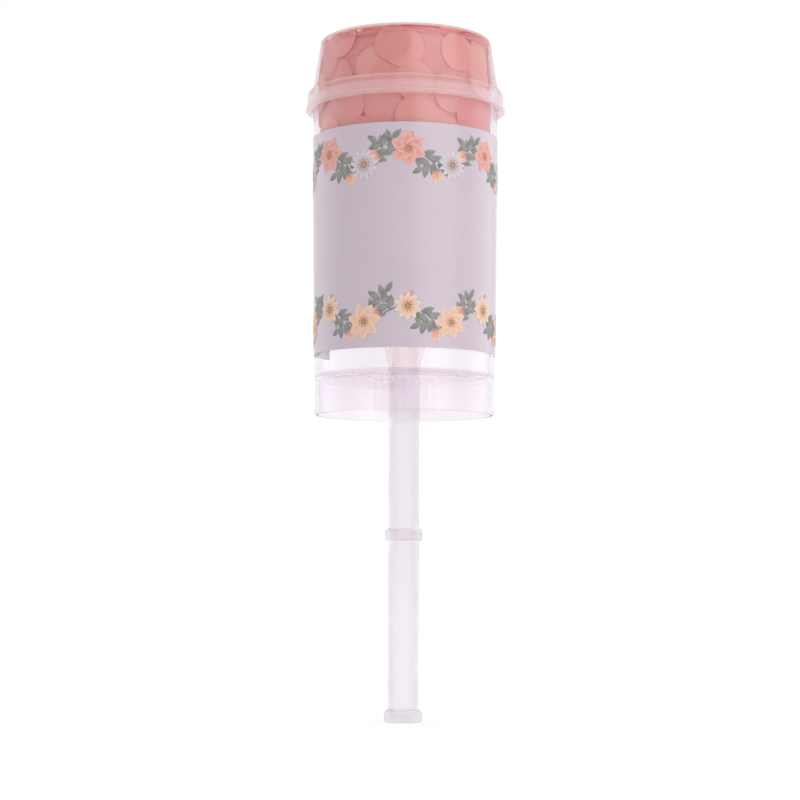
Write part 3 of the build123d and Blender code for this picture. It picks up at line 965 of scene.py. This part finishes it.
def label_print():
    """Both borders of the label as one piece."""
    motifs = {
        "stem": border_stem("stem", PRINT_FIRST, PRINT_LAST, WAVE, WAVE_LENGTH),
        "coral_blossom": open_blossom("coral_blossom", 6, 4.5, 4.2, 0.4, CORAL, CORAL_LIGHT, 0.6, 0.8, 3),
        "peach_blossom": open_blossom("peach_blossom", 7, 4.3, 3.5, 0.4, PEACH, PEACH_LIGHT, 0.6, 0.8, 2),
        "daisy": open_blossom("daisy", 13, 3.5, 1.55, 0.7, LILAC_GREY, WHITE_GREY, 0.7, 1.0),
        "cream_daisy": open_blossom("cream_daisy", 10, 3.3, 1.9, 0.6, PEACH, CREAM, 0.7, 0.95),
        "sprig": leaf_sprig("sprig", 3, SAGE_DARK, SAGE),
        "short_sprig": leaf_sprig("short_sprig", 2, SAGE, SAGE_DARK),
        "bud": side_bud("bud", CORAL, PEACH_LIGHT),
        "berries": berry_pair("berries"),
    }
    # Rows as motif, border, first place, step, count, rise, turn, swing, size and lift
    rows = []
    for border, order in ((TOP_BORDER, (0, PITCH)), (BASE_BORDER, (PITCH, 0))):
        big, small = ("coral_blossom", "daisy") if border == TOP_BORDER else ("peach_blossom", "cream_daisy")
        rows += [
            ("stem", border, 0, 0, 1, 0, 0, 0, 1.0, 0.0),
            ("sprig", border, -45.0, PITCH, 7, -0.6, 0.1, -0.75, 0.92, 0.004),
            ("short_sprig", border, -39.5, PITCH, 7, 0.4, 3.0, 0.6, 0.92, 0.008),
            ("bud", border, -40.5, PITCH, 7, -0.8, 1.1, -2.3, 0.9, 0.012),
            ("berries", border, -46.5, PITCH, 8, 1.2, 1.2, 0.4, 0.95, 0.014),
            (big, border, BLOSSOM_FIRST + order[0], 2 * PITCH, 4, 0, 0.3, 0.2, 1.0, 0.03),
            (small, border, BLOSSOM_FIRST + order[1], 2 * PITCH, 4, 0, 0.1, 0.3, 1.0, 0.03),
        ]
    tree = border_tree()
    carrier = linked("print_carrier", bpy.data.meshes.new("print_carrier"))
    face_at_zero = LABEL_BASE_RADIUS - LABEL_DRAFT * LABEL_BASE + INK_LIFT
    for k, (name, border, first, step, count, rise, turn, swing, size, lift) in enumerate(rows):
        row = carrier.modifiers.new(f"row_{k}", "NODES")
        row.node_group = tree
        lengths = {
            "First": first, "Step": step, "Middle": border, "Wave": 0.0 if name == "stem" else WAVE,
            "Wave Length": WAVE_LENGTH, "Rise": rise, "Lift": lift, "Face At Zero": face_at_zero,
            "Roll Radius": (LABEL_BASE_RADIUS + LABEL_TOP_RADIUS) / 2,
        }
        set_inputs(row, tree, {
            **{key: length * MM for key, length in lengths.items()}, "Face Draft": LABEL_DRAFT, "Turn": turn,
            "Turn Swing": swing, "Size": size, "Jitter": 0.0 if name == "stem" else TURN_JITTER,
            "Count": count, "Seed": FIRST_ROW_SEED + k, "Motif": motifs[name], "Material": INK,
        })
    piece = plain_piece("label_print", carrier)
    for source in motifs.values():
        bpy.data.objects.remove(source)
    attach(piece, "barrel")
    return piece


label_print()

# Stage: a pale floor, a white surround for what the plastic shows, and soft lamps
FLOOR_HALF = 3.0
FLOOR_COLOUR = (0.8, 0.79, 0.8, 1)
FLOOR_GLOW = 0.3


def seen_share(tree):
    """1 for what the camera sees, on its own or in something glossy or clear, and 0 for other light."""
    path = tree.nodes.new("ShaderNodeLightPath").outputs
    beyond = calc(tree, "MAXIMUM", path["Is Glossy Ray"], path["Is Transmission Ray"])
    return calc(tree, "MAXIMUM", path["Is Camera Ray"], beyond)


def pale_floor():
    material, tree, output = plain_material("pale_floor")
    paint = put(tree, "ShaderNodeBsdfDiffuse", {"Color": FLOOR_COLOUR})
    glow = put(tree, "ShaderNodeEmission", {"Strength": calc(tree, "MULTIPLY", seen_share(tree), FLOOR_GLOW)})
    both = put(tree, "ShaderNodeAddShader", {0: paint.outputs[0], 1: glow.outputs[0]})
    feed(tree, output.inputs["Surface"], both.outputs[0])
    mesh = bpy.data.meshes.new("floor")
    corners = [(x * FLOOR_HALF, y * FLOOR_HALF, 0) for x, y in ((-1, -1), (1, -1), (1, 1), (-1, 1))]
    mesh.from_pydata(corners, [], [(0, 1, 2, 3)])
    floor = linked("floor", mesh)
    mesh.materials.append(material)


pale_floor()


def studio_world(ambient_share):
    """White where it is seen, and a share of that as light all round."""
    world = bpy.data.worlds.new("studio")
    world.use_nodes = True
    tree = world.node_tree
    tree.nodes.clear()
    strength = calc(tree, "MULTIPLY_ADD", seen_share(tree), 1.0 - ambient_share, ambient_share)
    sky = put(tree, "ShaderNodeBackground", {"Color": (1, 1, 1, 1), "Strength": strength})
    output = tree.nodes.new("ShaderNodeOutputWorld")
    feed(tree, output.inputs["Surface"], sky.outputs[0])
    bpy.context.scene.world = world


studio_world(0.58)


def broad_lamp(name, place, strength, spread, tint=(1, 1, 1)):
    """A distant lamp as wide as a studio softbox, so that its light is even over object and floor."""
    lamp = bpy.data.lights.new(name, "SUN")
    lamp.energy = strength
    lamp.angle = math.radians(spread)
    lamp.color = tint
    holder = linked(name, lamp)
    holder.location = place
    holder.rotation_euler = Vector(place).to_track_quat("Z", "Y").to_euler()


broad_lamp("right_softbox", (0.66, -0.77, 0.5), 1.03, 60, (1.0, 0.97, 0.98))
broad_lamp("right_back_softbox", (0.85, 0.45, 0.25), 0.28, 45, (1.0, 0.98, 1.0))
broad_lamp("left_softbox", (-0.8, 0.4, 0.3), 0.22, 45, (0.9, 0.88, 1.0))
broad_lamp("top_softbox", (-0.2, 0.2, 0.9), 0.6, 70)

# Camera at the photograph's viewing angle
CAMERA_PLACE = (-0.00115, -0.5716, 0.0419)
CAMERA_PITCH_DEGREES = 4.46
CAMERA_ROLL_DEGREES = 0.25
camera = bpy.data.cameras.new("camera")
camera.lens = 95.3
camera.sensor_width = 36.0
camera.clip_start = 0.01
viewer = linked("camera", camera)
viewer.location = CAMERA_PLACE
pitch = Euler((math.radians(90 + CAMERA_PITCH_DEGREES), 0, 0)).to_matrix()
roll = Matrix.Rotation(math.radians(CAMERA_ROLL_DEGREES), 3, "Z")
viewer.rotation_euler = (pitch @ roll).to_euler()
bpy.context.scene.camera = viewer
bpy.context.scene.view_settings.view_transform = "Standard"

# Light paths long enough for clear walls inside one another, and for tissue behind tissue
CLEAR_BOUNCES = 32
TISSUE_BOUNCES = 16
light_paths = bpy.context.scene.cycles
light_paths.max_bounces = CLEAR_BOUNCES
light_paths.diffuse_bounces = TISSUE_BOUNCES
light_paths.transmission_bounces = CLEAR_BOUNCES
light_paths.transparent_max_bounces = CLEAR_BOUNCES
